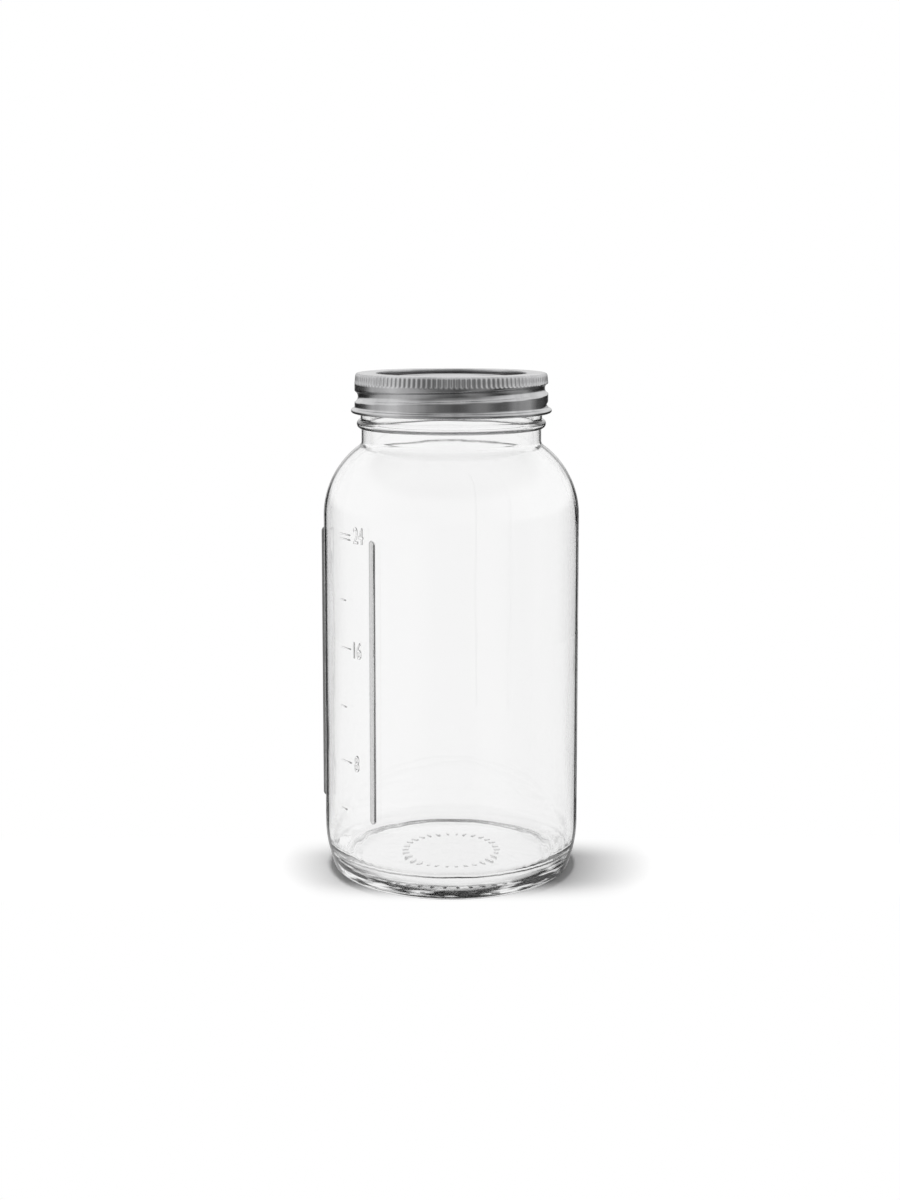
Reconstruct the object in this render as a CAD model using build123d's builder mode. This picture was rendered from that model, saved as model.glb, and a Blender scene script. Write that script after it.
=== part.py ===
# Quart canning jar with a two-piece metal closure.
#
# A moulded glass jar, a stamped lid disc with its ring of sealing compound, and a rolled screw band whose
# thread matches the thread on the glass. Sizes are in millimetres. The origin is the middle of the ring that
# the jar stands on, +Z is up, and the front, with the scale bars to its left, faces -Y.

from build123d import *

import os
from math import acos, asin, cos, degrees, radians, sin, sqrt

os.makedirs("parts", exist_ok=True)

# Glass: body and base
body_diameter = 93.5
body_wall = 2.9
shoulder_radius = 31.3
heel_radius = 44.0  # of the long curve in which the wall draws in towards the base
heel_turn = 21.0  # degrees that this curve turns
foot_radius = 2.4  # of the tight curve below it
inner_heel_radius = 9.0
standing_ring_width = 1.5
push_up_height = 2.4  # underside of the base, at its middle
push_up_step = 1.3  # rise just inside the standing ring
push_up_step_run = 1.4
push_up_fillet = 0.6
floor_thickness = 3.4
floor_crown = 1.2  # how much the floor rises from its edge to its middle

# Glass: neck and finish
rim_height = 182.0  # sealing land above the surface that the jar stands on
finish_diameter = 66.2  # behind the thread
rim_width = 3.5
rim_rounding = 0.9
bead_relief = 1.4
bead_height = 3.5
neck_inset = 0.3  # how far the neck stands back from the finish
neck_length = 5.65  # from the shoulder to the bead
neck_fillet = 2.2
inner_neck_fillet = 5.0

# Glass: the two upright bars that frame the volume scale
bar_relief = 0.85
bar_width = 2.4
bar_bottom = 26.0
bar_drop = 4.5  # from the end of the straight body to the top of the bars
bar_angles = (182.0, 234.0)  # degrees from +X, seen from above

# Thread, shared by the glass and the band
thread_pitch = 6.35
glass_thread_depth = 1.4
glass_thread_width = 3.1
glass_thread_lead = 90.0  # degrees that the glass thread begins before the band's
glass_thread_drop = 2.9  # from the rim to the end of the glass thread
glass_thread_fade = 35.0
glass_thread_cover = 0.3  # how far its faded ends sink below the glass
thread_clearance = 0.3  # between the two threads when the jar is closed
groove_depth = 1.2
groove_width = 3.9
groove_start_rise = 2.1  # above the band's lower edge
groove_start_angle = -35.0
groove_drop = 4.3  # from the top of the band to the end of the groove
groove_fade = 50.0
groove_lift = 0.3  # how far its faded ends stand off the band

# Screw band
band_sheet = 0.35
band_height = 14.5
band_clearance = 0.4  # between the band's wall and the crest of the glass thread
band_shoulder = 1.1
band_hem_clearance = 0.35  # between the hem of the opening and the wall of the disc's panel
band_hem_drop = 0.8
band_hem_rounding = 0.3
band_bead_gap = 2.2  # glass that shows between the band and the bead
curl_radius = 0.85
flare_radius = 0.6
knurl_count = 120
knurl_radius = 0.62
knurl_depth = 0.2
knurl_height = 2.4
knurl_drop = 1.3  # from the top of the band to the top of the knurls

# Lid disc and sealing ring
seal_thickness = 0.5
seal_margin = 0.2  # glass land that shows on both sides of the ring
seal_rounding = 0.2
disc_sheet = 0.3
disc_play = 0.05  # between the disc and the flange of the band
disc_clearance = 0.7  # between the edge of the disc and the band
disc_edge_rounding = 0.8
disc_skirt = 1.5
panel_drop = 1.5
panel_clearance = 1.4  # between the panel and the bore of the glass
panel_step_run = 0.8
panel_rounding = 0.4
ring_margin = 7.2  # from the edge of the panel to the middle of the raised ring
ring_width = 2.6
ring_rise = 0.45
button_diameter = 24.0
button_step_run = 0.7
button_rise = 0.6
button_crown = 0.35

overrun = 2.0  # how far a cutting tool passes the face that it cuts

# Radii and heights that follow from the sizes above
body_radius = body_diameter / 2
finish_radius = finish_diameter / 2
neck_radius = finish_radius - neck_inset
bore_radius = finish_radius - rim_width
disc_bottom = rim_height + seal_thickness
disc_top = disc_bottom + disc_sheet
band_top = disc_top + disc_play + band_sheet
band_bottom = band_top - band_height
bead_top = band_bottom - band_bead_gap
bead_bottom = bead_top - bead_height
glass_thread_radius = finish_radius + glass_thread_depth
band_inner_radius = glass_thread_radius + band_clearance
band_radius = band_inner_radius + band_sheet
panel_radius = bore_radius - panel_clearance


def section_radius(width, height):
    """The radius of a circle that stands `height` proud of a face and is `width` wide where it meets it."""
    return (width**2 / 4 + height**2) / (2 * height)


def dome(middle, edge_radius, drop):
    """An arc that is level on the axis, at height `middle`, and is `drop` lower at edge_radius."""
    radius = (edge_radius**2 + drop**2) / (2 * drop)
    return CenterArc((0, middle - radius), radius, 90, -degrees(asin(edge_radius / radius)))


def near(sketch, across, up):
    """The corner of a sketch that lies closest to a point."""
    return sketch.vertices().sort_by_distance((across, up))[0]


def rod_stretch(sweep_angle, first, last):
    """A stretch of round rod along the thread's helix, from one section to another.

    first and last are each the section's radius and its centre's distance from the jar's axis.
    """
    with BuildLine() as helix:
        Helix(thread_pitch, thread_pitch * sweep_angle / 360, band_radius)
    sections = []
    for end, (radius, centre) in ((0, first), (1, last)):
        here = helix.line @ end
        outward = Vector(here.X, here.Y, 0)
        with BuildSketch(Plane(here, x_dir=outward, z_dir=helix.line % end)) as section:
            with Locations((centre - band_radius, 0)):
                Circle(radius)
        sections.append(section.sketch)
    with BuildPart() as stretch:
        sweep(sections=sections, path=helix.line, multisection=True, is_frenet=True)
    return stretch.part


def helical_rod(start_angle, start_height, sweep_angle, fade_angle, full, faded):
    """A round rod along the thread's helix, whose two ends fade from the full section to the faded one."""
    stretches = (
        (fade_angle, faded, full),
        (sweep_angle - 2 * fade_angle, full, full),
        (fade_angle, full, faded),
    )
    turned = 0
    with BuildPart() as rod:
        for angle, first, last in stretches:
            height = start_height + thread_pitch * turned / 360
            add(rod_stretch(angle, first, last).moved(Location((0, 0, height), (0, 0, start_angle + turned))))
            turned += angle
    return rod.part


# Where the two threads run. The band's thread is a groove rolled into the outside of the sheet, which stands
# proud on the inside. When the jar is closed, it bears on the glass thread from below.
groove_section = section_radius(groove_width, groove_depth)
groove_centre = band_radius - groove_depth + groove_section
groove_start_height = band_bottom + groove_start_rise
groove_sweep = 360 * (band_top - groove_drop - groove_start_height) / thread_pitch
glass_thread_section = section_radius(glass_thread_width, glass_thread_depth)
glass_thread_centre = glass_thread_radius - glass_thread_section
sections_apart = groove_section + band_sheet + glass_thread_section + thread_clearance
thread_rise = sqrt(sections_apart**2 - (groove_centre - glass_thread_centre) ** 2)
glass_thread_start_height = groove_start_height + thread_rise - thread_pitch * glass_thread_lead / 360
glass_thread_sweep = 360 * (rim_height - glass_thread_drop - glass_thread_start_height) / thread_pitch

# Glass jar: one profile, revolved, with the thread and the two scale bars raised on it
heel_centre = body_radius - heel_radius
standing_radius = heel_centre + (heel_radius - foot_radius) * cos(radians(heel_turn))
heel_start = foot_radius + (heel_radius - foot_radius) * sin(radians(heel_turn))
step_radius = standing_radius - standing_ring_width
push_up_radius = step_radius - push_up_step_run
shoulder_centre = body_radius - shoulder_radius
shoulder_turn = degrees(acos((neck_radius - shoulder_centre) / shoulder_radius))
shoulder_rise = sqrt(shoulder_radius**2 - (neck_radius - shoulder_centre) ** 2)
shoulder_start = bead_bottom - neck_length - shoulder_rise  # height where the straight body ends
inner_radius = body_radius - body_wall
inner_shoulder_radius = shoulder_radius - body_wall
inner_shoulder_turn = degrees(acos((bore_radius - shoulder_centre) / inner_shoulder_radius))
floor_middle = push_up_height + floor_thickness
floor_edge = floor_middle - floor_crown
floor_radius = inner_radius - inner_heel_radius
glass_thread_faded = glass_thread_section / 2

glass_thread = helical_rod(
    groove_start_angle - glass_thread_lead,
    glass_thread_start_height,
    glass_thread_sweep,
    glass_thread_fade,
    (glass_thread_section, glass_thread_centre),
    (glass_thread_faded, finish_radius - glass_thread_cover - glass_thread_faded),
)

with BuildPart() as glass_jar:
    with BuildSketch(Plane.XZ) as wall_section:
        with BuildLine():
            underside = dome(push_up_height, push_up_radius, push_up_height - push_up_step)
            Line(underside @ 1, (step_radius, 0))
            Line((step_radius, 0), (standing_radius, 0))
            foot = CenterArc((standing_radius, foot_radius), foot_radius, -90, 90 - heel_turn)
            heel = CenterArc((heel_centre, heel_start), heel_radius, -heel_turn, heel_turn)
            Line(heel @ 1, (body_radius, shoulder_start))
            shoulder = CenterArc((shoulder_centre, shoulder_start), shoulder_radius, 0, shoulder_turn)
            Line(shoulder @ 1, (neck_radius, bead_bottom))
            ThreePointArc(
                (neck_radius, bead_bottom),
                (finish_radius + bead_relief, bead_bottom + bead_height / 2),
                (finish_radius, bead_top),
            )
            Line((finish_radius, bead_top), (finish_radius, rim_height))
            Line((finish_radius, rim_height), (bore_radius, rim_height))
            inner_shoulder = CenterArc(
                (shoulder_centre, shoulder_start), inner_shoulder_radius, 0, inner_shoulder_turn
            )
            Line((bore_radius, rim_height), inner_shoulder @ 1)
            inner_heel = CenterArc(
                (floor_radius, floor_edge + inner_heel_radius), inner_heel_radius, -90, 90
            )
            Line(inner_shoulder @ 0, inner_heel @ 1)
            dome(floor_middle, floor_radius, floor_crown)
            Line((0, floor_middle), (0, push_up_height))
        make_face()
        shoulder_top = shoulder @ 1
        inner_shoulder_top = inner_shoulder @ 1
        fillet(near(wall_section, shoulder_top.X, shoulder_top.Y), neck_fillet)
        fillet(near(wall_section, inner_shoulder_top.X, inner_shoulder_top.Y), inner_neck_fillet)
        fillet(near(wall_section, finish_radius, rim_height), rim_rounding)
        fillet(near(wall_section, bore_radius, rim_height), rim_rounding)
        fillet(near(wall_section, push_up_radius, push_up_step), push_up_fillet)
        fillet(near(wall_section, step_radius, 0), push_up_fillet)
    revolve(axis=Axis.Z)
    add(glass_thread)
    bar_section = section_radius(bar_width, bar_relief)
    bar_length = shoulder_start - bar_drop - bar_bottom
    for bar_angle in bar_angles:
        bar_place = Vector(body_radius + bar_relief - bar_section, 0, bar_bottom)
        bar_place = bar_place.rotate(Axis.Z, bar_angle)
        with BuildSketch(Plane(bar_place, x_dir=(1, 0, 0), z_dir=(0, -1, 0))):
            with BuildLine():
                bar_foot = CenterArc((0, bar_section), bar_section, -90, 90)
                bar_side = Line(bar_foot @ 1, (bar_section, bar_length - bar_section))
                bar_head = CenterArc((0, bar_length - bar_section), bar_section, 0, 90)
                Line(bar_head @ 1, bar_foot @ 0)
            make_face()
        revolve(axis=Axis(bar_place, (0, 0, 1)))
glass_jar.part.label = "glass_jar"
export_step(glass_jar.part, "parts/glass_jar.step")

# Sealing ring: a flat ring of compound under the disc's channel, bearing on the land of the rim
seal_inner_radius = bore_radius + seal_margin
seal_outer_radius = finish_radius - seal_margin
with BuildPart() as sealing_ring:
    with BuildSketch(Plane.XZ) as seal_section:
        with BuildLine():
            Polyline(
                (seal_inner_radius, rim_height),
                (seal_outer_radius, rim_height),
                (seal_outer_radius, disc_bottom),
                (seal_inner_radius, disc_bottom),
                close=True,
            )
        make_face()
        fillet(near(seal_section, seal_inner_radius, rim_height), seal_rounding)
        fillet(near(seal_section, seal_outer_radius, rim_height), seal_rounding)
    revolve(axis=Axis.Z)
sealing_ring.part.label = "sealing_ring"
export_step(sealing_ring.part, "parts/sealing_ring.step")

# Lid disc: stamped sheet. From the edge in: skirt, channel over the rim, step down to the panel, a raised
# ring, and a crowned button that the vacuum pulls down
panel_top = disc_top - panel_drop
disc_radius = band_inner_radius - disc_clearance
button_radius = button_diameter / 2
ring_radius = panel_radius - ring_margin
ring_inner_radius = ring_radius - ring_width / 2
ring_outer_radius = ring_radius + ring_width / 2
with BuildPart() as lid_disc:
    with BuildSketch(Plane.XZ):
        with BuildLine():
            crown = dome(panel_top + button_rise + button_crown, button_radius, button_crown)
            Line(crown @ 1, (button_radius + button_step_run, panel_top))
            Line((button_radius + button_step_run, panel_top), (ring_inner_radius, panel_top))
            ThreePointArc(
                (ring_inner_radius, panel_top),
                (ring_radius, panel_top + ring_rise),
                (ring_outer_radius, panel_top),
            )
            FilletPolyline(
                (ring_outer_radius, panel_top),
                (panel_radius, panel_top),
                (panel_radius + panel_step_run, disc_top),
                (disc_radius, disc_top),
                (disc_radius, disc_top - disc_skirt),
                radius=[panel_rounding, panel_rounding + disc_sheet, disc_edge_rounding],
            )
            offset(amount=disc_sheet, side=Side.RIGHT)
        make_face()
    revolve(axis=Axis.Z)
lid_disc.part.label = "lid_disc"
export_step(lid_disc.part, "parts/lid_disc.step")

# Screw band: the outside of the sheet less the inside, each with the same thread cut into it, so that the
# sheet keeps its thickness where the thread is rolled
groove_faded_centre = groove_centre + groove_depth + groove_lift
groove_path = (groove_start_angle, groove_start_height, groove_sweep, groove_fade)
groove = helical_rod(
    *groove_path, (groove_section, groove_centre), (groove_section, groove_faded_centre)
)
inner_thread = helical_rod(
    *groove_path,
    (groove_section + band_sheet, groove_centre),
    (groove_section + band_sheet, groove_faded_centre),
)
band_opening_radius = panel_radius - band_hem_clearance - band_sheet
curl_centre = band_inner_radius + curl_radius
curl_height = band_bottom + curl_radius
wall_foot = band_bottom + curl_radius / 2
flare_centre = band_radius + flare_radius
flare_rise = sqrt((curl_radius + flare_radius) ** 2 - (flare_centre - curl_centre) ** 2)
flare_top = curl_height + flare_rise

with BuildPart() as band_inside:
    with BuildSketch(Plane.XY.offset(band_bottom - overrun)):
        Circle(band_inner_radius)
    extrude(amount=band_height - band_sheet + overrun)
    fillet(band_inside.edges().group_by(Axis.Z)[-1], band_shoulder - band_sheet)
    add(inner_thread, mode=Mode.SUBTRACT)

with BuildPart() as screw_band:
    with BuildSketch(Plane.XY.offset(wall_foot)):
        Circle(band_radius)
    extrude(amount=band_top - wall_foot)
    fillet(screw_band.edges().group_by(Axis.Z)[-1], band_shoulder)
    with BuildSketch(Plane.XY.offset(band_top - knurl_drop - knurl_height)):
        with PolarLocations(band_radius - knurl_depth + knurl_radius, knurl_count):
            Circle(knurl_radius)
    extrude(amount=knurl_height, mode=Mode.SUBTRACT)
    add(groove, mode=Mode.SUBTRACT)
    with BuildSketch(Plane.XZ):
        with Locations((curl_centre, curl_height)):
            Circle(curl_radius)
        with BuildLine():
            flare_foot = (
                curl_centre + (flare_centre - curl_centre) * curl_radius / (curl_radius + flare_radius),
                curl_height + flare_rise * curl_radius / (curl_radius + flare_radius),
            )
            flare = RadiusArc((band_radius, flare_top), flare_foot, -flare_radius)
            Polyline(
                flare @ 1,
                (curl_centre, curl_height),
                (band_inner_radius, curl_height),
                (band_inner_radius, flare_top),
                flare @ 0,
            )
        make_face()
    revolve(axis=Axis.Z)
    add(band_inside.part, mode=Mode.SUBTRACT)
    with BuildSketch(Plane.XY.offset(band_top - band_hem_drop)):
        Circle(band_opening_radius + band_sheet)
    extrude(amount=band_hem_drop)
    with BuildSketch(Plane.XY.offset(band_top - band_hem_drop - overrun)):
        Circle(band_opening_radius)
    extrude(amount=band_hem_drop + overrun * 2, mode=Mode.SUBTRACT)
    hem_edge = screw_band.edges().group_by(Axis.Z)[-1].sort_by(SortBy.LENGTH)[0]
    fillet(hem_edge, band_hem_rounding)
screw_band.part.label = "screw_band"
export_step(screw_band.part, "parts/screw_band.step")
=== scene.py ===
# %% [markdown]
# # A quart canning jar, closed with a lid disc and a screw band
#
# The jar is one piece of pressed glass. A flat disc of tinplate, with a ring of sealing compound under its
# edge, lies on the mouth, and a rolled screw band holds it down. The CAD model gives every size and place,
# so the script starts by loading it as a fixed frame, and builds the pieces that the eye needs on top.

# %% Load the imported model
from math import acos, atan2, cos, degrees, hypot, pi, radians, sin, sqrt

import bpy
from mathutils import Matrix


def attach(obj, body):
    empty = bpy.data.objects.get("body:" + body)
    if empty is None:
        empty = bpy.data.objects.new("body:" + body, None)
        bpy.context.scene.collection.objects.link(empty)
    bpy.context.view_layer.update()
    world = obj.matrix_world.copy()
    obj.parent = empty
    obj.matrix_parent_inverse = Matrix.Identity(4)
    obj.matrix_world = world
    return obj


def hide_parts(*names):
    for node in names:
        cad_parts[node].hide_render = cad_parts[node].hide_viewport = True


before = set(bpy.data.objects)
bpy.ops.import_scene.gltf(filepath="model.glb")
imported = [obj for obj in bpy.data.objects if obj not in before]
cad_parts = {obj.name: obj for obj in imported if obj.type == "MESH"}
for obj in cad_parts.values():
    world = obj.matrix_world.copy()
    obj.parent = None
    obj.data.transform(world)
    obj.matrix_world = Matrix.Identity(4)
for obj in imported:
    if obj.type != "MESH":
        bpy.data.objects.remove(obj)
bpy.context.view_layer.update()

scene = bpy.context.scene
scene.view_settings.view_transform = "Standard"
MM = 0.001  # everything below is written in millimetres, and Blender works in metres

# %% [markdown]
# ## The camera
#
# The photograph was taken from a little above the lid, and its upright lines run parallel. A camera that
# tilts down makes them lean together. One that stays level and shifts its lens, as a view camera can, keeps
# them upright, but so large a shift pushes the lid out of the picture from other angles. So the drop is
# shared: most of it comes from tilting, which leans the lines by two or three pixels, and some from the lens.

# %% Camera
LENS, TILT = 51.7, 6.5  # focal length in mm, and degrees down
EYE = (-0.5, -627.5, 214.4)  # where the camera stands

camera_data = bpy.data.cameras.new("studio_camera")
camera_data.lens = LENS
camera_data.sensor_width = 36.0
camera_data.shift_y = -0.0979
camera = bpy.data.objects.new("studio_camera", camera_data)
scene.collection.objects.link(camera)
camera.location = [c * MM for c in EYE]
camera.rotation_euler = (radians(90 - TILT), 0, 0)
scene.camera = camera
print("camera", [round(c / MM, 1) for c in camera.location])

# %% [markdown]
# ## Tools for drawing an outline
#
# Glass moulds, spun sheet and rings are all round, so each piece starts as half of its section, drawn on the
# X-Z plane like a turner's template. The outline could be a curve object, but a chain of mesh points can be
# spun in steps of our own choosing. It begins as one point, straight runs are extruded, and arcs are spun.

# %% Drawing helpers
pen = [0.0, 0.0]


def begin_outline(name, across, up):
    """Starts a piece as one point, across from the axis and up from the floor, and goes into edit mode."""
    bpy.ops.object.select_all(action="DESELECT")
    bpy.ops.mesh.primitive_plane_add(size=MM, location=(across * MM, 0, up * MM))
    piece = bpy.context.object
    piece.name = piece.data.name = name
    bpy.ops.object.transform_apply(location=True, rotation=True, scale=True)
    bpy.ops.object.mode_set(mode="EDIT")
    bpy.ops.mesh.select_all(action="SELECT")
    bpy.ops.mesh.merge(type="CENTER")
    pen[:] = (across, up)
    return piece


def line_to(across, up, steps=1):
    """Draws a straight run to a point, in equal steps."""
    move = ((across - pen[0]) / steps * MM, 0, (up - pen[1]) / steps * MM)
    for _ in range(steps):
        bpy.ops.mesh.extrude_region_move(TRANSFORM_OT_translate={"value": move})
    pen[:] = (across, up)


def arc_about(across, up, turn, steps):
    """Draws an arc about a centre. A turn above 0 is anticlockwise, seen with the axis on the left."""
    centre = (across * MM, 0, up * MM)
    bpy.ops.mesh.spin(steps=steps, angle=radians(turn), center=centre, axis=(0, 1, 0))
    x, z, a = pen[0] - across, pen[1] - up, radians(turn)
    pen[:] = (across + x * cos(a) - z * sin(a), up + x * sin(a) + z * cos(a))


def round_corner(corner, after, radius, steps):
    """Draws towards a corner and rounds it, ready to go on towards `after`."""
    back = [pen[i] - corner[i] for i in (0, 1)]
    on = [after[i] - corner[i] for i in (0, 1)]
    back = [c / hypot(*back) for c in back]
    on = [c / hypot(*on) for c in on]
    between = acos(max(-1.0, min(1.0, back[0] * on[0] + back[1] * on[1])))
    short = radius * cos(between / 2) / sin(between / 2)
    middle = [back[i] + on[i] for i in (0, 1)]
    out = radius / sin(between / 2) / hypot(*middle)
    side = 1 if on[0] * back[1] - on[1] * back[0] > 0 else -1
    line_to(corner[0] + back[0] * short, corner[1] + back[1] * short)
    centre = [corner[i] + middle[i] * out for i in (0, 1)]
    arc_about(*centre, side * (180 - degrees(between)), steps)


def arc_through(middle, end, steps):
    """Draws an arc from the pen through one point to another."""
    (ax, az), (bx, bz), (cx, cz) = pen, middle, end
    twice = 2 * (ax * (bz - cz) + bx * (cz - az) + cx * (az - bz))
    a, b, c = ax**2 + az**2, bx**2 + bz**2, cx**2 + cz**2
    across = (a * (bz - cz) + b * (cz - az) + c * (az - bz)) / twice
    up = (a * (cx - bx) + b * (ax - cx) + c * (bx - ax)) / twice
    turn = degrees(atan2(cz - up, cx - across) - atan2(az - up, ax - across))
    leftwards = (bx - ax) * (cz - az) - (bz - az) * (cx - ax) > 0
    arc_about(across, up, turn % 360 if leftwards else -(-turn % 360), steps)


def dome_to(across, up, steps):
    """Draws an arc from the pen that is level where it meets the axis."""
    rim, middle = (pen, (across, up)) if across == 0 else ((across, up), pen)
    drop = middle[1] - rim[1]
    radius = (rim[0] ** 2 + drop**2) / (2 * abs(drop))
    centre_up = middle[1] - radius * (1 if drop > 0 else -1)
    start = atan2(pen[1] - centre_up, pen[0])
    end = atan2(up - centre_up, across)
    arc_about(0, centre_up, degrees(end - start), steps)


def spin_whole(piece, stretches):
    """Spins the outline once round Z. Each stretch is an angle in degrees and its number of steps."""
    bpy.ops.mesh.select_all(action="SELECT")
    for angle, steps in stretches:
        bpy.ops.mesh.spin(steps=steps, angle=radians(angle), center=(0, 0, 0), axis=(0, 0, -1))
    bpy.ops.mesh.select_all(action="SELECT")
    bpy.ops.mesh.remove_doubles(threshold=0.004 * MM)
    bpy.ops.mesh.normals_make_consistent(inside=False)
    bpy.ops.object.mode_set(mode="OBJECT")
    print(piece.name, "spun:", len(piece.data.polygons), "faces")


# %% [markdown]
# ## Tools for pressing relief into a surface
#
# A thread, a knurl or a raised bar is a small push along the normals of a surface that is already dense
# enough there. A vertex group holds how far each point goes, and a Displace modifier does the pushing. This
# keeps the glass one closed skin, which real refraction needs, where separate ridges would overlap it.

# %% Relief helpers
def polar(vertex):
    """A vertex's angle in degrees, its distance from the axis and its height, in millimetres."""
    x, y, z = (c / MM for c in vertex.co)
    return degrees(atan2(y, x)) % 360, hypot(x, y), z


def press(piece, name, depth, shape):
    """Pushes the surface along its normals by depth times shape(angle, across, up)."""
    group = piece.vertex_groups.new(name=name)
    touched = 0
    for vertex in piece.data.vertices:
        share = shape(*polar(vertex))
        if share > 0.0005:
            group.add([vertex.index], min(share, 1.0), "REPLACE")
            touched += 1
    bpy.ops.object.select_all(action="DESELECT")
    bpy.context.view_layer.objects.active = piece
    piece.select_set(True)
    bpy.ops.object.modifier_add(type="DISPLACE")
    displace = piece.modifiers[-1]
    displace.direction = "NORMAL"
    displace.mid_level = 0.0
    displace.strength = depth * MM
    displace.vertex_group = name
    bpy.ops.object.modifier_apply(modifier=displace.name)
    piece.vertex_groups.remove(piece.vertex_groups[name])
    print(piece.name, name, "moved", touched, "points")


def smooth(piece, angle):
    """Shades a piece smooth, but keeps the edges that are sharper than the angle."""
    bpy.ops.object.select_all(action="DESELECT")
    bpy.context.view_layer.objects.active = piece
    piece.select_set(True)
    bpy.ops.object.shade_smooth_by_angle(angle=radians(angle))


def helix_offset(angle, up, start_angle, start_up, sweep, pitch):
    """How far a point lies above the nearest turn of a helix, and the degrees that it has run there."""
    best = (1e9, 0.0)
    run = (angle - start_angle) % 360
    while run <= sweep:
        offset = up - start_up - pitch * run / 360
        if abs(offset) < abs(best[0]):
            best = (offset, run)
        run += 360
    return best


# %% [markdown]
# ## The glass jar
#
# The section is drawn as one line: the push-up under the base, the ring that the jar stands on, heel, wall,
# shoulder, neck, transfer bead, finish and rim, then down the bore and along the inside to the middle of
# the floor. Spinning it gives a closed shell with a real wall, so the renderer bends light through it twice,
# as glass does. The spin takes quarter-degree steps where the two upright bars will be pressed.

# %% Glass jar: outline
BODY, INSIDE = 46.75, 43.85  # radius of the wall, outside and inside
SHOULDER_UP, SHOULDER_IN = 131.3, 15.45  # the shoulder's centre: its height, and how far it is from the axis
NECK_CURVE, INNER_CURVE = (35.0, 158.504), (34.6, 158.67)  # centres of the small curves into the neck
NECK, FINISH, BORE, RIM = 32.8, 33.1, 29.6, 182.0  # radii of neck, finish and mouth, and the full height
HEEL, HEEL_TURN, HEEL_UP = 44.0, 21.0, 17.308  # long curve of the heel: radius, degrees, height of its centre
FOOT, STANDING = 2.4, 41.587  # radius of the tight curve below it, and of the ring where that meets the floor
WALL_ROWS = (20, 23, 25.6, 25.9, 26.1, 26.3, 26.55, 26.85, 27.3, 32, 42, 55, 68, 80, 92, 104, 114, 120,
             125.5, 125.95, 126.25, 126.5, 126.7, 126.9, 127.2, 129, SHOULDER_UP)  # close at the bars' ends

glass = begin_outline("pressed_glass_jar", 0, 2.4)
dome_to(38.44, 1.314, 10)  # push-up
round_corner((38.69, 1.3), (40.09, 0), 0.6, 4)
round_corner((40.09, 0), (STANDING, 0), 0.6, 4)
line_to(STANDING, 0)
arc_about(STANDING, FOOT, 90 - HEEL_TURN, 14)
arc_about(BODY - HEEL, HEEL_UP, HEEL_TURN, 16)
for up in WALL_ROWS:
    line_to(BODY, up)
neck_turn = degrees(atan2(NECK_CURVE[1] - SHOULDER_UP, NECK_CURVE[0] - SHOULDER_IN))
arc_about(SHOULDER_IN, SHOULDER_UP, neck_turn, 26)
arc_about(*NECK_CURVE, -neck_turn, 8)
line_to(NECK, 163.0, 3)
arc_through((34.5, 164.75), (FINISH, 166.5), 12)  # transfer bead
line_to(FINISH, 181.0, 44)  # rows for the thread
round_corner((FINISH, RIM), (BORE, RIM), 0.9, 6)
line_to(30.6, RIM, 2)
round_corner((BORE, RIM), (BORE, 170), 0.9, 6)
line_to(BORE, INNER_CURVE[1], 6)
inner_turn = degrees(atan2(INNER_CURVE[1] - SHOULDER_UP, INNER_CURVE[0] - SHOULDER_IN))
arc_about(*INNER_CURVE, inner_turn, 8)
arc_about(SHOULDER_IN, SHOULDER_UP, -inner_turn, 20)
line_to(INSIDE, 13.6, 8)
arc_about(34.85, 13.6, -90, 12)  # heel inside
dome_to(0, 5.8, 12)  # floor
spin_whole(glass, ((180, 120), (4, 16), (48, 32), (4, 16), (124, 83)))

# %% [markdown]
# The bars are half-round, 2.4 mm wide and 0.85 mm proud, with ball ends, at 182 and 234 degrees round the
# jar. The glass thread is half-round too, 3.1 mm wide and 1.4 mm proud. It climbs 6.35 mm a turn and sinks
# into the wall over 35 degrees at both ends, because a mould can't cut it off square. Both sections are part
# of a circle whose centre lies a little below the surface.

# %% Glass jar: bars and thread
PITCH = 6.35
BARS, BAR_LOW, BAR_HIGH = (182, 234), 26.0, 126.8
BAR_SECTION, BAR_SUNK, BAR_PROUD = 1.272, 0.422, 0.85
GLASS_THREAD = (235.0, 172.12, 395.7)  # start angle, start height and degrees run
THREAD_SECTION, THREAD_SUNK, THREAD_PROUD = 1.558, 0.158, 1.4
THREAD_FADE = 35


def past_bar_end(up):
    """How far a height lies past the straight part of the bars."""
    return max(0, BAR_LOW + BAR_SECTION - up, up - BAR_HIGH + BAR_SECTION)


def bar_relief(angle, across, up):
    if across < 46.6:
        return 0
    relief = 0
    for middle in BARS:
        aside = radians(angle - middle) * BODY
        inside = BAR_SECTION**2 - aside**2 - past_bar_end(up)**2
        if inside > 0:
            relief = max(relief, (sqrt(inside) - BAR_SUNK) / BAR_PROUD)
    return relief


def thread_relief(angle, across, up):
    if across < 33.05 or not 168 < up < 181.05:
        return 0
    offset, run = helix_offset(angle, up, *GLASS_THREAD, PITCH)
    if abs(offset) > 1.55:
        return 0
    fade = min(1, run / THREAD_FADE, (GLASS_THREAD[2] - run) / THREAD_FADE)
    return (sqrt(THREAD_SECTION**2 - offset**2) - THREAD_SUNK) / THREAD_PROUD * fade * fade * (3 - 2 * fade)


press(glass, "bars", BAR_PROUD, bar_relief)
press(glass, "thread", THREAD_PROUD, thread_relief)
smooth(glass, 50)

# %% [markdown]
# ## Marks on the glass
#
# Between the bars stands a volume scale: plain numbers with a tick beside each, and shorter ticks halfway.
# The numbers are text objects, thickened and turned into meshes, stood upright against the wall and sunk
# into it a little. They overlap its skin, but on marks so small that only helps them to show.

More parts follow.
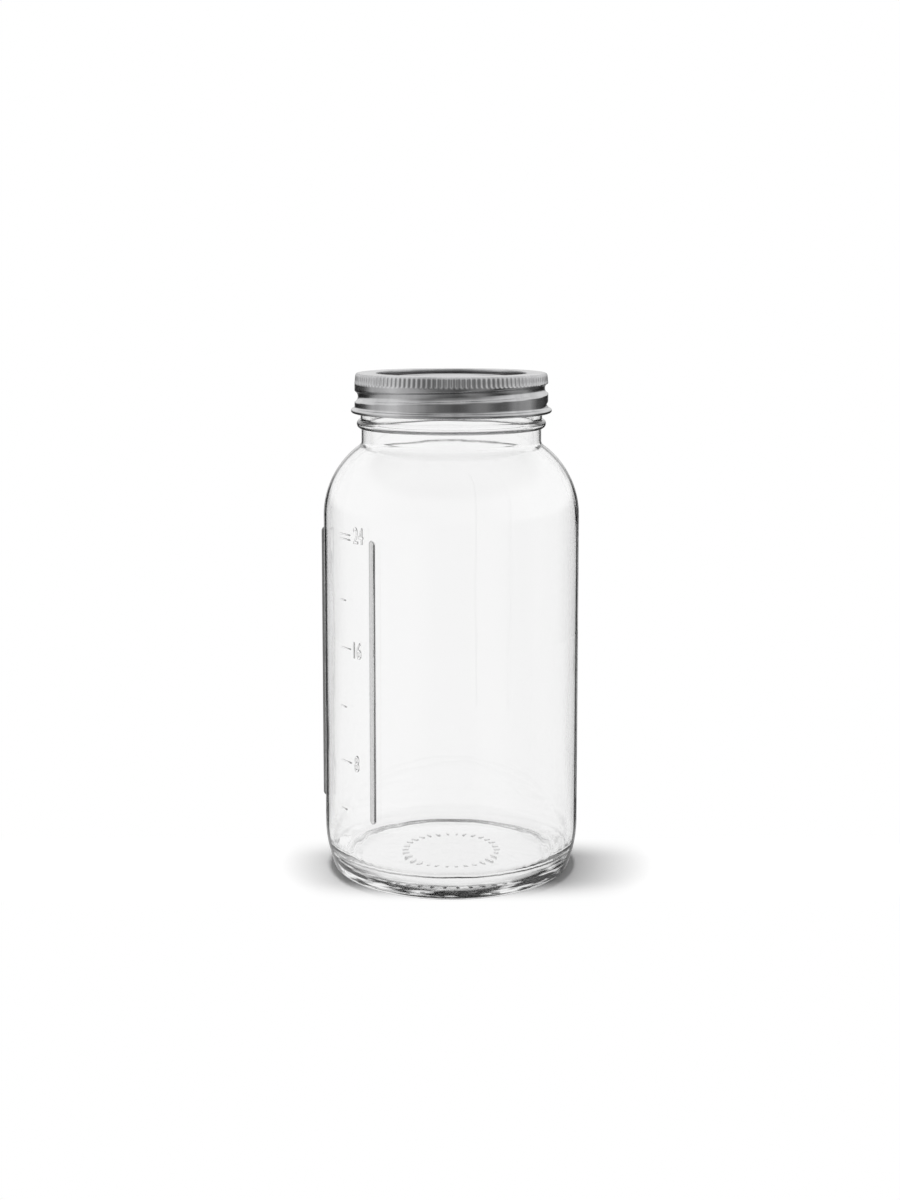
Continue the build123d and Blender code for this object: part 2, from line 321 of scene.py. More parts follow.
# %% Scale marks
def stand_on_wall(mark, left, up):
    """Turns a mark that lies flat upright and sets it on the wall, `left` degrees round from the front."""
    angle = radians(270 - left)
    bpy.ops.object.select_all(action="DESELECT")
    bpy.context.view_layer.objects.active = mark
    mark.select_set(True)
    mark.rotation_euler = (pi / 2, 0, angle + pi / 2)
    mark.location = (BODY * MM * cos(angle), BODY * MM * sin(angle), up * MM)
    bpy.ops.object.transform_apply(location=True, rotation=True, scale=True)
    return mark


def number(text, left, up):
    """A raised number, narrow and 5.8 mm tall."""
    bpy.ops.object.select_all(action="DESELECT")
    bpy.ops.object.text_add()
    mark = bpy.context.object
    mark.data.body = text
    mark.data.align_x, mark.data.align_y = "CENTER", "CENTER"
    mark.data.size = 8.2 * MM
    mark.data.extrude = 0.12 * MM
    mark.data.bevel_depth = 0.2 * MM
    mark.data.bevel_resolution = 1
    mark.data.offset = -0.1 * MM
    mark.scale = (0.62, 1, 1)
    bpy.ops.object.convert(target="MESH")
    return stand_on_wall(bpy.context.object, left, up)


def rounded_block(length, width, height, edge, segments):
    """A small block with rounded edges."""
    bpy.ops.object.select_all(action="DESELECT")
    bpy.ops.mesh.primitive_cube_add(size=1)
    mark = bpy.context.object
    mark.scale = (length * MM, width * MM, height * MM)
    bpy.ops.object.transform_apply(location=True, rotation=True, scale=True)
    bpy.ops.object.mode_set(mode="EDIT")
    bpy.ops.mesh.select_all(action="SELECT")
    bpy.ops.mesh.bevel(offset=edge * MM, segments=segments)
    bpy.ops.object.mode_set(mode="OBJECT")
    return mark


def tick(left, up, length):
    """A raised line of the scale."""
    return stand_on_wall(rounded_block(length, 0.6, 0.6, 0.25, 3), left, up)


marks = [number("24", 43.9, 127.6), number("16", 45.4, 86.8), number("8", 45.6, 46.0)]
marks += [tick(53.4, 127.8, 7.0), tick(53.4, 126.1, 7.0)]
marks += [tick(52.8, up, 6.0) for up in (87.2, 46.1)]
marks += [tick(54.8, up, 3.6) for up in (104.3, 65.9, 28.4)]
print(len(marks), "scale marks")

# %% [markdown]
# Under the base, such jars have a ring of small raised ribs, which grip the conveyor while the glass is
# hot. They show through the floor of the jar as faint flecks. Each rib is a small rounded block.

# %% Ribs under the base
RIB_RING, RIB_UP, RIB_STEP = 17, 2.05, 12  # radius of the ring, height, and degrees from one to the next


def rib(angle):
    """One raised rib on the underside, pointing at the axis."""
    mark = rounded_block(2.6, 1.1, 0.7, 0.35, 2)
    turn = radians(angle)
    mark.rotation_euler = (0, 0, turn)
    mark.location = (RIB_RING * MM * cos(turn), RIB_RING * MM * sin(turn), RIB_UP * MM)
    bpy.ops.object.transform_apply(location=True, rotation=True, scale=True)
    return mark


marks += [rib(angle) for angle in range(0, 360, RIB_STEP)]
bpy.ops.object.select_all(action="DESELECT")
for mark in marks:
    mark.select_set(True)
glass.select_set(True)
bpy.context.view_layer.objects.active = glass
bpy.ops.object.join()
smooth(glass, 50)
print("glass jar", len(glass.data.polygons), "faces")

# %% [markdown]
# Where a bar meets the wall there is a tight inside corner, which bends light away to both sides, so it
# shows as a fine dark line all round the bar. It is too tight for the mesh, so that line is painted shade:
# an attribute marks where it runs, from 0 for clear to 1 for dark. Inside its line the bar in front gets
# painted grey shade too, and the one at the side stays clear.

# %% Glass jar: corner lines
CORNER = 1.1  # how far the line runs from the middle of the bar
# Painted shade: 0 for clear, 1 for the dark line round each bar, 0.55 on the front bar
painted_corner_shade = glass.data.attributes.new("painted_corner_shade", "FLOAT", "POINT")
for vertex in glass.data.vertices:
    angle, across, up = polar(vertex)
    line = 0.0
    if across > 46.6 and BAR_LOW - 1 < up < BAR_HIGH + 1:
        for middle, core in zip(BARS, (0.0, 0.55)):
            out = hypot(radians(angle - middle) * BODY, past_bar_end(up)) - CORNER
            wide = 0.55 if angle < middle else 0.35
            line = max(line, 1 - abs(out) / wide, core if out < 0 else 0)
    painted_corner_shade.data[vertex.index].value = line

# %% [markdown]
# ## The screw band
#
# The band is rolled from one strip of tinplate, so it is drawn as a single line: the hem round the opening,
# the flat flange, the rounded shoulder, the grip that leans in a little, the wall and the edge curled
# outwards. Solidify gives the sheet its 0.35 mm after the thread and the knurls are pressed, so the inside
# follows the outside as in real sheet.

# %% Screw band: outline
BAND, BAND_TOP, GRIP_LOW = 35.25, 183.2, 179.4  # radius of the wall, and heights of flange and grip

band = begin_outline("rolled_screw_band", 27.5, 182.42)
round_corner((27.5, BAND_TOP), (BAND, BAND_TOP), 0.3, 4)  # hem
line_to(31, BAND_TOP)
round_corner((34.87, BAND_TOP), (BAND, GRIP_LOW), 1.0, 6)  # shoulder
line_to(35.02, 181.7)  # grip
line_to(35.2, 179.9, 2)
for up in (179.7, 179.55, GRIP_LOW, 179.25):
    line_to(BAND, up)
line_to(BAND, 171.0, 24)  # rows for the thread
arc_about(35.85, 171.0, 86, 4)
arc_about(35.75, 169.55, -286, 14)  # curled edge
spin_whole(band, ((360, 720),))

# %% [markdown]
# The thread is a groove 3.9 mm wide and 1.2 mm deep on the same helix as the glass thread. It starts near
# the bottom edge and fades in and out over 50 degrees. The grip has 120 small flutes, one every three
# degrees, which run up over the shoulder. The spin's half-degree steps give each flute six points.

# %% Screw band: thread and grip
GROOVE = (325.0, 170.8, 459.2)  # start angle, start height and degrees run
GROOVE_SECTION, GROOVE_SUNK, GROOVE_DEPTH, GROOVE_FADE = 2.184, 0.984, 1.2, 50
FLUTE_SECTION, FLUTE_SUNK, FLUTE_STEP = 0.62, 0.42, 3


def groove_relief(angle, across, up):
    if not 35.2 < across < 35.3 or not 170.9 < up < 181:
        return 0
    offset, run = helix_offset(angle, up, *GROOVE, PITCH)
    if abs(offset) > 1.95:
        return 0
    faded = max(0, 1 - run / GROOVE_FADE, 1 - (GROOVE[2] - run) / GROOVE_FADE)
    depth = sqrt(GROOVE_SECTION**2 - offset**2) - GROOVE_SUNK - 1.5 * faded
    return max(0, depth / GROOVE_DEPTH) * min(1, max(0, (up - 171.0) / 0.8))


def flute_relief(angle, across, up):
    if across < 34.1 or not 179.3 < up < 183.19:
        return 0
    aside = radians((angle + FLUTE_STEP / 2) % FLUTE_STEP - FLUTE_STEP / 2) * BAND
    fade = min(1, (up - 179.25) / 0.5, (BAND_TOP - up) / 0.25)
    return max(0, sqrt(max(0, FLUTE_SECTION**2 - aside**2)) - FLUTE_SUNK) / 0.2 * fade


sides = [(polygon.center.x * polygon.normal.x + polygon.center.y * polygon.normal.y)
         for polygon in band.data.polygons if 0.172 < polygon.center.z < 0.179]
if sum(sides) < 0:
    band.data.flip_normals()
press(band, "flutes", -0.3, flute_relief)
press(band, "groove", -GROOVE_DEPTH, groove_relief)
bpy.ops.object.modifier_add(type="SOLIDIFY")
band.modifiers[-1].thickness = 0.35 * MM
band.modifiers[-1].offset = -1
bpy.ops.object.modifier_apply(modifier=band.modifiers[-1].name)
smooth(band, 60)
print("screw band", len(band.data.polygons), "faces")

# %% [markdown]
# ## The lid disc and its sealing ring
#
# The disc is stamped: a button in the middle that a vacuum pulls down, a raised ring that stiffens the
# panel, a step up to the channel over the rim, and a short skirt. The compound was flowed into that channel.

# %% Lid disc and sealing ring
PANEL, CHANNEL, DISC = 181.3, 182.8, 34.2  # heights of the panel and of the channel, and the disc's radius

disc = begin_outline("stamped_lid_disc", 0, 182.25)
dome_to(11.6, 181.924, 8)  # button
round_corner((12, 181.9), (12.7, PANEL), 0.3, 3)
round_corner((12.7, PANEL), (19, PANEL), 0.3, 3)
line_to(19.7, PANEL, 3)
arc_through((21, 181.75), (22.3, PANEL), 10)  # raised ring
line_to(25, PANEL)
round_corner((28.2, PANEL), (29.0, CHANNEL), 0.4, 4)
round_corner((29.0, CHANNEL), (DISC, CHANNEL), 0.7, 4)
round_corner((DISC, CHANNEL), (DISC, 181.3), 0.8, 6)
line_to(DISC, 181.3, 2)  # skirt
spin_whole(disc, ((360, 180),))
if sum(polygon.normal.z for polygon in disc.data.polygons) < 0:
    disc.data.flip_normals()
bpy.ops.object.modifier_add(type="SOLIDIFY")
disc.modifiers[-1].thickness = 0.3 * MM
disc.modifiers[-1].offset = -1
bpy.ops.object.modifier_apply(modifier=disc.modifiers[-1].name)
smooth(disc, 40)

SEAL_IN, SEAL_OUT, SEAL_TOP = 29.8, 32.9, 182.5
seal = begin_outline("flowed_sealing_ring", 31.3, SEAL_TOP)
line_to(SEAL_OUT, SEAL_TOP)
round_corner((SEAL_OUT, 182), (SEAL_IN, 182), 0.2, 4)
round_corner((SEAL_IN, 182), (SEAL_IN, SEAL_TOP), 0.2, 4)
line_to(SEAL_IN, SEAL_TOP)
line_to(31.3, SEAL_TOP)
spin_whole(seal, ((360, 180),))
smooth(seal, 40)

# %% [markdown]
# ## Tools for materials
#
# Every material is built from nodes in code. One function turns a hex colour, as a designer writes it, into
# the linear values that shaders work with. Another adds a node with its settings and links, and with the
# stops of its colours where it is a colour ramp.

# %% Material helpers
def linear(hex_colour):
    """An sRGB hex colour as linear values."""
    parts = [int(hex_colour[i : i + 2], 16) / 255 for i in (1, 3, 5)]
    return tuple(c / 12.92 if c <= 0.04045 else ((c + 0.055) / 1.055) ** 2.4 for c in parts) + (1.0,)


def new_tree(owner):
    """Empties a material's or a world's node tree, and returns it."""
    owner.use_nodes = True
    owner.node_tree.nodes.clear()
    return owner.node_tree


def add_node(tree, kind, settings=None, links=None, stops=()):
    """Adds a node. Settings name its inputs or properties, links join its inputs to other outputs, and
    stops are places and hex colours."""
    node = tree.nodes.new(kind)
    for name, value in (settings or {}).items():
        if isinstance(name, int) or name in node.inputs:
            node.inputs[name].default_value = value
        else:
            setattr(node, name, value)
    for name, source in (links or {}).items():
        tree.links.new(source, node.inputs[name])
    if stops:
        elements = node.color_ramp.elements
        while len(elements) < len(stops):
            elements.new(0.5)
        for element, (place, colour) in zip(elements, stops):
            element.position, element.color = place, linear(colour)
    return node


# %% [markdown]
# ## Pressed soda-lime glass
#
# Clear container glass, pressed and blown in an iron mould: smooth, colourless, IOR 1.52. Against a white
# room real refraction keeps a clear jar white, and what draws it is the thin dark line just inside its edge,
# where the wall turns away and the glass mirrors the dark parts of a studio. That line is a painted
# reflection: Layer Weight's Facing is near that angle at the edge only, so the outer skin's colour is painted
# dark there. The bars' corners get painted shade from their attribute. The foot gets painted dark streaks,
# for rays that come straight from the camera: they stand for the dark under the jar, which its thick glass
# picks up.

# %% Glass: painted dark lines on the outer skin
# Colour of the outer skin by Facing: the dark stops just inside the edge are a painted reflection of the
# studio's dark parts
PAINTED_EDGE_DARK = [(0.0, "#FCFCFC"), (0.66, "#FAFAFA"), (0.785, "#E4E4E4"), (0.805, "#181818"),
        (0.86, "#101010"), (0.89, "#B0B0B0"), (1.0, "#F4F4F4")]


def paint_dark_lines(tree, place, body):
    """Paints the outer skin's colour: a painted reflection that darkens it by the angle it is seen at, and
    painted shade at the corners and the foot.
    """
    view = add_node(tree, "ShaderNodeLayerWeight", {"Blend": 0.5})
    edge = add_node(tree, "ShaderNodeValToRGB", links={0: view.outputs["Facing"]}, stops=PAINTED_EDGE_DARK)
    # Painted shade at the bars' corners, read from their attribute
    corner = add_node(tree, "ShaderNodeAttribute", {"attribute_name": "painted_corner_shade"}).outputs["Fac"]
    # The painted shade streaks are 13 mm long round the jar. They start 1 mm up and end 4 to 7 mm up, higher
    # at the sides
    parts = add_node(tree, "ShaderNodeSeparateXYZ", links={0: place}).outputs
    begun = add_node(tree, "ShaderNodeMapRange", {"From Min": 0.6 * MM, "From Max": 1.6 * MM},
                     {"Value": parts["Z"]}).outputs["Result"]
    aside = add_node(tree, "ShaderNodeMath", {"operation": "MULTIPLY"}, {0: parts["X"], 1: parts["X"]})
    lowered = add_node(tree, "ShaderNodeMath", {"operation": "MULTIPLY_ADD", 1: -2.7},
                       {0: aside.outputs[0], 2: parts["Z"]}).outputs[0]
    ended = add_node(tree, "ShaderNodeMapRange", {
        "From Min": 4.0 * MM, "From Max": 7.5 * MM, "To Min": 1.0, "To Max": 0.0,
    }, {"Value": lowered}).outputs["Result"]
    flat = add_node(tree, "ShaderNodeMapping", {"Scale": (1.0, 1.0, 9.0)}, {"Vector": place}).outputs[0]
    noise = add_node(tree, "ShaderNodeTexNoise", {"Scale": 75.0, "Detail": 2.0}, {"Vector": flat})
    painted_streaks = add_node(tree, "ShaderNodeMapRange", {"From Min": 0.34, "From Max": 0.50},
                       {"Value": noise.outputs["Fac"]}).outputs["Result"]
    # Painted shade at the foot, shown to camera rays only
    painted_foot_shade = add_node(tree, "ShaderNodeLightPath").outputs["Is Camera Ray"]
    for share in (begun, ended, painted_streaks):
        painted_foot_shade = add_node(tree, "ShaderNodeMath", {"operation": "MULTIPLY"}, {0: painted_foot_shade, 1: share}).outputs[0]
    # How much painted shade there is, from the corners and the foot together
    dark = add_node(tree, "ShaderNodeMath", {"operation": "MAXIMUM"}, {0: corner, 1: painted_foot_shade}).outputs[0]
    # The painted shade of the corners and the foot darkens the painted edge colour towards #141414
    painted_tint = add_node(tree, "ShaderNodeMix", {"data_type": "RGBA", 7: linear("#141414")},
                    {0: dark, 6: edge.outputs["Color"]})
    tree.links.new(painted_tint.outputs[2], body.inputs["Base Color"])


# %% [markdown]
# Blown against no mould, the inside is wavy: it has swells some 14 mm apart on the wall, and ripples of 5 mm
# at the heel, all of them drawn out upwards. The floor is calmer. The inner skin keeps its clear colour.

# %% Glass: waves on the inner skin
def make_wavy(tree, place, body):
    """Gives the inner skin its waves."""
    upright = add_node(tree, "ShaderNodeMapping", {"Scale": (1.0, 1.0, 0.35)}, {"Vector": place}).outputs[0]
    swell = add_node(tree, "ShaderNodeTexNoise", {"Scale": 70.0, "Detail": 1.5, "Roughness": 0.45},
                     {"Vector": upright}).outputs["Fac"]
    ripple = add_node(tree, "ShaderNodeTexNoise", {"Scale": 210.0, "Detail": 1.0},
                      {"Vector": upright}).outputs["Fac"]
    height = add_node(tree, "ShaderNodeSeparateXYZ", links={0: place}).outputs["Z"]
    heel = add_node(tree, "ShaderNodeMapRange", {
        "From Min": 10 * MM, "From Max": 20 * MM, "To Min": 1.0, "To Max": 0.0,
    }, {"Value": height}).outputs["Result"]
    short = add_node(tree, "ShaderNodeMath", {"operation": "MULTIPLY"}, {0: ripple, 1: heel}).outputs[0]
    both = add_node(tree, "ShaderNodeMath", {"operation": "ADD"}, {0: swell, 1: short}).outputs[0]
    calm = add_node(tree, "ShaderNodeMapRange", {"From Min": 6 * MM, "From Max": 12 * MM, "To Min": 0.2},
                    {"Value": height}).outputs["Result"]
    waves = add_node(tree, "ShaderNodeMath", {"operation": "MULTIPLY"}, {0: both, 1: calm}).outputs[0]
    bump = add_node(tree, "ShaderNodeBump", {"Strength": 1.0, "Distance": 0.35 * MM}, {"Height": waves})
    tree.links.new(bump.outputs["Normal"], body.inputs["Normal"])


# %% [markdown]
# Shadow rays pass through the glass as through a faint grey film, so that lamps reach through the jar and
# still leave a shadow. Light that has been mirrored four times inside thick glass would end black at the
# renderer's limit, so it leaves through a film too, clear with faint grey streaks 3 mm wide, which are
# painted shade in place of the light and dark that such paths would find.

# %% Glass
def pressed_glass(name, inside):
    """The outer or the inner skin of the glass."""
    material = bpy.data.materials.new(name)
    tree = new_tree(material)
    body = add_node(tree, "ShaderNodeBsdfPrincipled", {
        "Base Color": linear("#FCFCFC"), "Roughness": 0.0, "IOR": 1.52, "Transmission Weight": 1.0,
    })
    place = add_node(tree, "ShaderNodeTexCoord").outputs["Object"]
    finish = make_wavy if inside else paint_dark_lines
    finish(tree, place, body)
    # Painted shade: faint grey streaks on the film that deep paths leave through
    upright = add_node(tree, "ShaderNodeMapping", {"Scale": (1.0, 1.0, 0.12)}, {"Vector": place}).outputs[0]
    noise = add_node(tree, "ShaderNodeTexNoise", {"Scale": 330.0, "Detail": 1.0}, {"Vector": upright})
    painted_streaks = add_node(tree, "ShaderNodeValToRGB", links={0: noise.outputs["Fac"]},
                       stops=[(0.42, "#D4D4D4"), (0.56, "#FFFFFF")])
    path = add_node(tree, "ShaderNodeLightPath").outputs
    colour = add_node(tree, "ShaderNodeMix", {"data_type": "RGBA", 7: linear("#A8A8A8")},
                      {0: path["Is Shadow Ray"], 6: painted_streaks.outputs["Color"]})
    film = add_node(tree, "ShaderNodeBsdfTransparent", links={"Color": colour.outputs[2]})
    deep = add_node(tree, "ShaderNodeMath", {"operation": "GREATER_THAN", 1: 3.5}, {0: path["Glossy Depth"]})
    leaves = add_node(tree, "ShaderNodeMath", {"operation": "MAXIMUM"},
                      {0: path["Is Shadow Ray"], 1: deep.outputs[0]})
    mix = add_node(tree, "ShaderNodeMixShader",
                   links={0: leaves.outputs[0], 1: body.outputs[0], 2: film.outputs[0]})
    add_node(tree, "ShaderNodeOutputMaterial", links={"Surface": mix.outputs[0]})
    return material


glass.data.materials.clear()
glass.data.materials.append(pressed_glass("pressed_soda_lime_glass", inside=False))
glass.data.materials.append(pressed_glass("pressed_soda_lime_glass_inside", inside=True))
inside_faces = 0
for polygon in glass.data.polygons:
    x, y, z = (c / MM for c in polygon.center)
    outwards = (polygon.normal.x * x + polygon.normal.y * y) / max(hypot(x, y), 0.01)
    on_wall = z > 7 and outwards < -0.05
    on_floor = 3.6 < z < 14 and polygon.normal.z > 0.3 and hypot(x, y) < INSIDE
    polygon.material_index = int(on_wall or on_floor)
    inside_faces += polygon.material_index
print("inside faces of the glass:", inside_faces)

# %% [markdown]
# ## Tinplate and sealing compound
#
# The band and the disc are steel sheet with a thin coat of tin, rolled to a satin shine: a metal of middle
# grey with roughness near 0.3. Rolling leaves fine lines, drawn 0.4 mm apart because real ones are too fine
# to show, and the roughness and colour follow noise stretched along Z, in soft lighter and darker zones
# some 18 mm wide that run up the band. On the disc the zones are round clouds.

# %% Tinplate
def tinplate(name, dark, light, rough, stretch):
    """Tinned sheet between two tones, with its zones stretched upwards."""
    material = bpy.data.materials.new(name)
    tree = new_tree(material)
    place = add_node(tree, "ShaderNodeTexCoord").outputs["Object"]
    zones = add_node(tree, "ShaderNodeMapping", {"Scale": (1.0, 1.0, stretch)}, {"Vector": place}).outputs[0]
    cloud = add_node(tree, "ShaderNodeTexNoise", {"Scale": 55.0, "Detail": 3.0, "Roughness": 0.55},
                     {"Vector": zones}).outputs["Fac"]
    grain = add_node(tree, "ShaderNodeMapping", {"Scale": (1.0, 1.0, 30.0)}, {"Vector": place}).outputs[0]
    lines = add_node(tree, "ShaderNodeTexNoise", {"Scale": 90.0, "Detail": 4.0, "Roughness": 0.6},
                     {"Vector": grain}).outputs["Fac"]
    tone = add_node(tree, "ShaderNodeValToRGB", links={0: cloud}, stops=[(0.32, dark), (0.68, light)])
    spread = add_node(tree, "ShaderNodeMapRange", {"To Min": rough - 0.06, "To Max": rough + 0.08},
                      {"Value": cloud})
    bump = add_node(tree, "ShaderNodeBump", {"Strength": 0.12, "Distance": 0.05 * MM}, {"Height": lines})
    steel = add_node(tree, "ShaderNodeBsdfPrincipled", {"Metallic": 1.0}, {
        "Base Color": tone.outputs["Color"], "Roughness": spread.outputs["Result"],
        "Normal": bump.outputs["Normal"],
    })
    add_node(tree, "ShaderNodeOutputMaterial", links={"Surface": steel.outputs[0]})
    return material


band.data.materials.append(tinplate("rolled_tinplate", "#9C9C9D", "#D0D0D1", 0.22, 0.12))
disc.data.materials.append(tinplate("stamped_tinplate", "#B4B4B5", "#D0D0D1", 0.3, 1.0))

# %% [markdown]
# The compound is a soft grey plastisol, matt, with a faint mottle from curing, about a millimetre wide.

# %% Sealing compound
compound = bpy.data.materials.new("cured_plastisol")
tree = new_tree(compound)
place = add_node(tree, "ShaderNodeTexCoord").outputs["Object"]
mottle = add_node(tree, "ShaderNodeTexNoise", {"Scale": 900.0, "Detail": 2.0},
                  {"Vector": place}).outputs["Fac"]
tone = add_node(tree, "ShaderNodeValToRGB", links={0: mottle}, stops=[(0.35, "#75726E"), (0.65, "#87847F")])
bump = add_node(tree, "ShaderNodeBump", {"Strength": 0.3, "Distance": 0.05 * MM}, {"Height": mottle})
body = add_node(tree, "ShaderNodeBsdfPrincipled", {"Roughness": 0.75, "IOR": 1.5}, {
    "Base Color": tone.outputs["Color"], "Normal": bump.outputs["Normal"],
})
add_node(tree, "ShaderNodeOutputMaterial", links={"Surface": body.outputs[0]})
seal.data.materials.append(compound)

# %% [markdown]
# ## Joining the pieces to the frame
#
# Each piece rides on the CAD body that it belongs to, so it moves with it, and stands for its CAD node.

# %% Ride
for piece, body_name, node_name, slot_name in (
    (glass, "jar", "glass_jar", "glass"),
    (band, "band", "screw_band", "band_steel"),
    (disc, "lid", "lid_disc", "tinplate"),
    (seal, "lid", "sealing_ring", "compound"),
):
    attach(piece, body_name)
    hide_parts(node_name)
    print(piece.name, "rides on", body_name)

# %% [markdown]
# ## Room, floor and lamp
#
# The room is what metal and glass show, and the camera sees it as plain white. Through glass it is white
# too, but for a dark ceiling, so that the neck, shoulder and heel, which bend light upwards, get the dark
# streaks that draw them. What metal mirrors is light above the horizon, white behind the jar and greyer on
# the camera's side, and below it dark with a few light panels, which gives the side of the band its streaks.
# All that only shows; what lights matt surfaces is even.

# %% Tools for the room
def first_bounces(tree, kind):
    """1 for rays of a kind, such as Is Glossy Ray, that haven't touched a matt surface yet."""
    path = add_node(tree, "ShaderNodeLightPath").outputs
    first = add_node(tree, "ShaderNodeMath", {"operation": "LESS_THAN", 1: 0.5}, {0: path["Diffuse Depth"]})
    return add_node(tree, "ShaderNodeMath", {"operation": "MULTIPLY"},
                    {0: path[kind], 1: first.outputs[0]}).outputs[0]


# Light and dark round the studio floor, by the angle from the camera's side (0.5) to its right (0.75) and
# its left (0.25)
PANELS = [(0.0, "#C0C0C0"), (0.035, "#B0B0B0"), (0.05, "#202020"), (0.16, "#2C2C2C"), (0.20, "#C8C8C8"),
          (0.30, "#E0E0E0"), (0.41, "#D0D0D0"), (0.46, "#787878"), (0.54, "#505050"), (0.575, "#A8A8A8"),
          (0.61, "#A0A0A0"), (0.65, "#484848"), (0.69, "#383838"), (0.73, "#A0A0A0"), (0.80, "#A8A8A8"),
          (0.84, "#303030"), (0.95, "#202020"), (0.965, "#B0B0B0"), (1.0, "#C0C0C0")]


def panels_round(tree, vector):
    """The light panels, by which way a vector points from the axis of the jar."""
    along = add_node(tree, "ShaderNodeSeparateXYZ", links={0: vector}).outputs
    front = add_node(tree, "ShaderNodeMath", {"operation": "MULTIPLY", 1: -1.0}, {0: along["Y"]}).outputs[0]
    turned = add_node(tree, "ShaderNodeMath", {"operation": "ARCTAN2"}, {0: along["X"], 1: front}).outputs[0]
    share = add_node(tree, "ShaderNodeMath", {"operation": "MULTIPLY_ADD", 1: 0.5 / pi, 2: 0.5},
                     {0: turned}).outputs[0]
    return add_node(tree, "ShaderNodeValToRGB", links={0: share}, stops=PANELS).outputs["Color"]


# %% Room
AMBIENT = 0.14  # what the room adds to the lamp on matt surfaces

room = bpy.data.worlds.new("white_room")
scene.world = room
tree = new_tree(room)
towards = add_node(tree, "ShaderNodeTexCoord").outputs["Generated"]
parts = add_node(tree, "ShaderNodeSeparateXYZ", links={0: towards}).outputs
horizon = add_node(tree, "ShaderNodeMapRange", {
    "interpolation_type": "SMOOTHSTEP", "From Min": -0.03, "From Max": 0.09,
}, {"Value": parts["Z"]}).outputs["Result"]
sky = add_node(tree, "ShaderNodeMapRange", {"From Min": -0.9, "From Max": -0.2, "To Min": 0.3},
               {"Value": parts["Y"]}).outputs["Result"]
ceiling = add_node(tree, "ShaderNodeMapRange", {
    "interpolation_type": "SMOOTHSTEP", "From Min": 0.45, "From Max": 0.70, "To Min": 1.0, "To Max": 0.10,
}, {"Value": parts["Z"]}).outputs["Result"]
mirrored = first_bounces(tree, "Is Glossy Ray")
through = first_bounces(tree, "Is Transmission Ray")
straight = first_bounces(tree, "Is Camera Ray")
shown = add_node(tree, "ShaderNodeMix", links={0: horizon, 2: panels_round(tree, towards), 3: sky}).outputs[0]
level = add_node(tree, "ShaderNodeMix", {2: AMBIENT}, {0: mirrored, 3: shown}).outputs[0]
level = add_node(tree, "ShaderNodeMix", links={0: through, 2: level, 3: ceiling}).outputs[0]
level = add_node(tree, "ShaderNodeMix", {3: 1.0}, {0: straight, 2: level}).outputs[0]
back = add_node(tree, "ShaderNodeBackground", {"Color": (1, 1, 1, 1)}, {"Strength": level})
add_node(tree, "ShaderNodeOutputWorld", links={"Surface": back.outputs[0]})

# %% [markdown]
# The floor is a disc of matt white paper. Near the jar it takes real light, so it keeps the shadow, and the
# camera sees it brighter than its paper, in place of the light that a white room would bounce back. Further
# out it goes over to plain white, in front of the jar and behind it sooner than at its sides, so that two
# short shadows are left. Through the glass it shows mostly as plain white too, and metal mirrors the panels.

# %% Floor
bpy.ops.object.select_all(action="DESELECT")
bpy.ops.mesh.primitive_circle_add(vertices=96, radius=0.45, fill_type="NGON", location=(0, 0, -0.02 * MM))
floor = bpy.context.object
floor.name = floor.data.name = "paper_sweep"
bpy.ops.object.transform_apply(location=True, rotation=True, scale=True)

paper = bpy.data.materials.new("white_paper")
tree = new_tree(paper)
place = add_node(tree, "ShaderNodeTexCoord").outputs["Object"]
away = add_node(tree, "ShaderNodeVectorMath", {"operation": "LENGTH"}, {0: place}).outputs["Value"]
outside = add_node(tree, "ShaderNodeMapRange", {
    "interpolation_type": "SMOOTHSTEP", "From Min": 0.12, "From Max": 0.26,
}, {"Value": away}).outputs["Result"]
back = add_node(tree, "ShaderNodeSeparateXYZ", links={0: place}).outputs["Y"]
back = add_node(tree, "ShaderNodeMath", {"operation": "ADD", 1: 9 * MM}, {0: back}).outputs[0]
depth = add_node(tree, "ShaderNodeMath", {"operation": "ABSOLUTE"}, {0: back}).outputs[0]
ahead = add_node(tree, "ShaderNodeMapRange", {
    "interpolation_type": "SMOOTHSTEP", "From Min": 12 * MM, "From Max": 36 * MM,
}, {"Value": depth}).outputs["Result"]
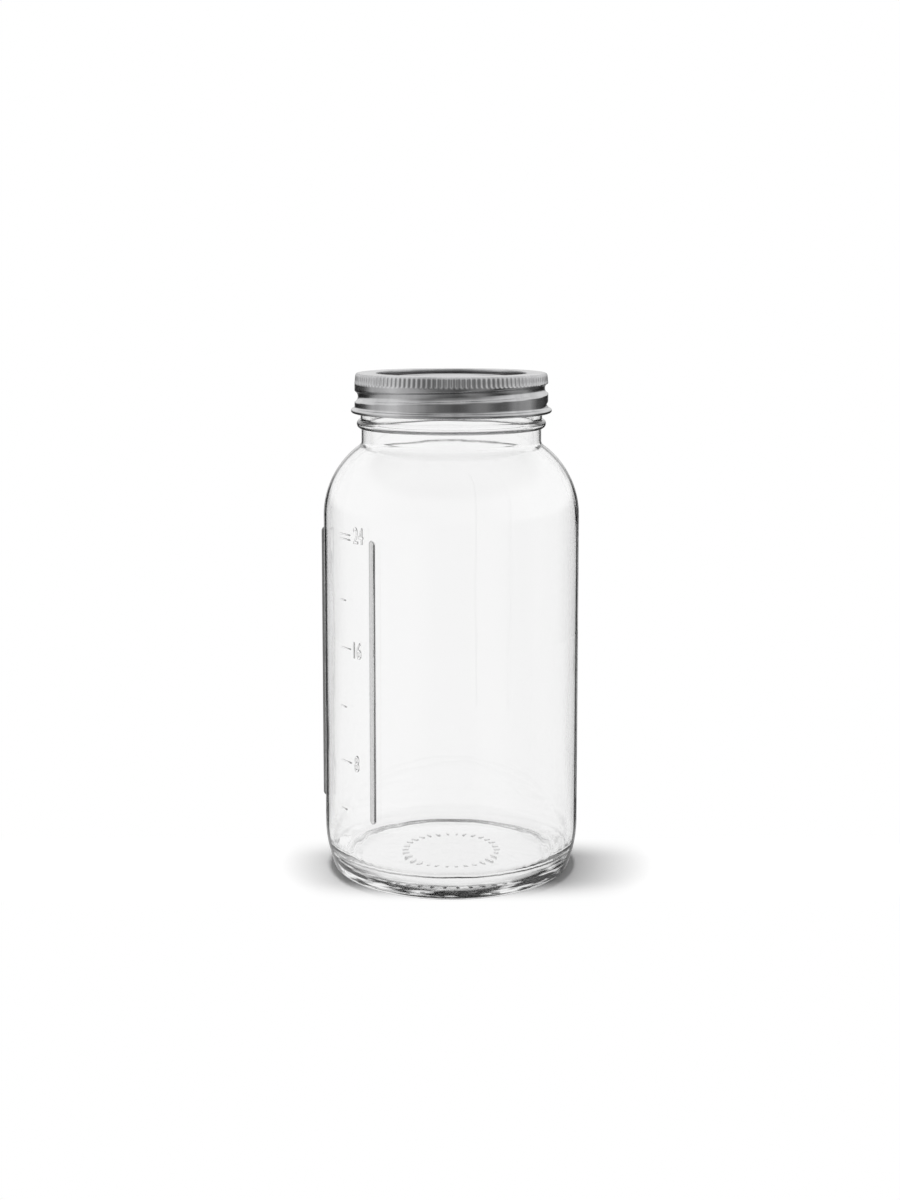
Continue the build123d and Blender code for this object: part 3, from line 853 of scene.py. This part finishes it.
far = add_node(tree, "ShaderNodeMath", {"operation": "MAXIMUM"}, {0: outside, 1: ahead}).outputs[0]
behind_glass = add_node(tree, "ShaderNodeMath", {"operation": "MAXIMUM", 1: 0.93}, {0: far}).outputs[0]
mirrored = first_bounces(tree, "Is Glossy Ray")
through = first_bounces(tree, "Is Transmission Ray")
straight = first_bounces(tree, "Is Camera Ray")

# %% [markdown]
# Each kind of ray has its own share of plain white in place of matt paper, and its own level of white.

# %% Floor: what each kind of ray sees
share = add_node(tree, "ShaderNodeMix", {2: 0.0}, {0: straight, 3: far}).outputs[0]
share = add_node(tree, "ShaderNodeMix", {3: 0.9}, {0: mirrored, 2: share}).outputs[0]
share = add_node(tree, "ShaderNodeMix", links={0: through, 2: share, 3: behind_glass}).outputs[0]
light = add_node(tree, "ShaderNodeMix", {2: 1.0}, {0: mirrored, 3: panels_round(tree, place)}).outputs[0]
light = add_node(tree, "ShaderNodeMix", {3: 1.0}, {0: through, 2: light}).outputs[0]
colour = add_node(tree, "ShaderNodeMix", {2: 0.88, 3: 1.28}, {0: straight}).outputs[0]
matt = add_node(tree, "ShaderNodeBsdfDiffuse", links={"Color": colour})
white = add_node(tree, "ShaderNodeEmission", {"Color": (1, 1, 1, 1)}, {"Strength": light})
mix = add_node(tree, "ShaderNodeMixShader", links={0: share, 1: matt.outputs[0], 2: white.outputs[0]})
add_node(tree, "ShaderNodeOutputMaterial", links={"Surface": mix.outputs[0]})
floor.data.materials.append(paper)

# %% [markdown]
# One long soft lamp hangs overhead from left to right, which makes short soft shadows at both sides and none
# in front. It isn't mirrored in glass or metal, which show the room instead.

# %% Lamp
lamp = bpy.data.lights.new("overhead_strip", "AREA")
lamp.shape, lamp.energy = "RECTANGLE", 6.5
lamp.size, lamp.size_y = 0.28, 0.06
holder = bpy.data.objects.new("overhead_strip", lamp)
scene.collection.objects.link(holder)
holder.location = (-0.03, 0.0, 0.88)
holder.visible_camera = holder.visible_glossy = holder.visible_transmission = False
print(holder.name, "at", tuple(holder.location), lamp.energy, "W")
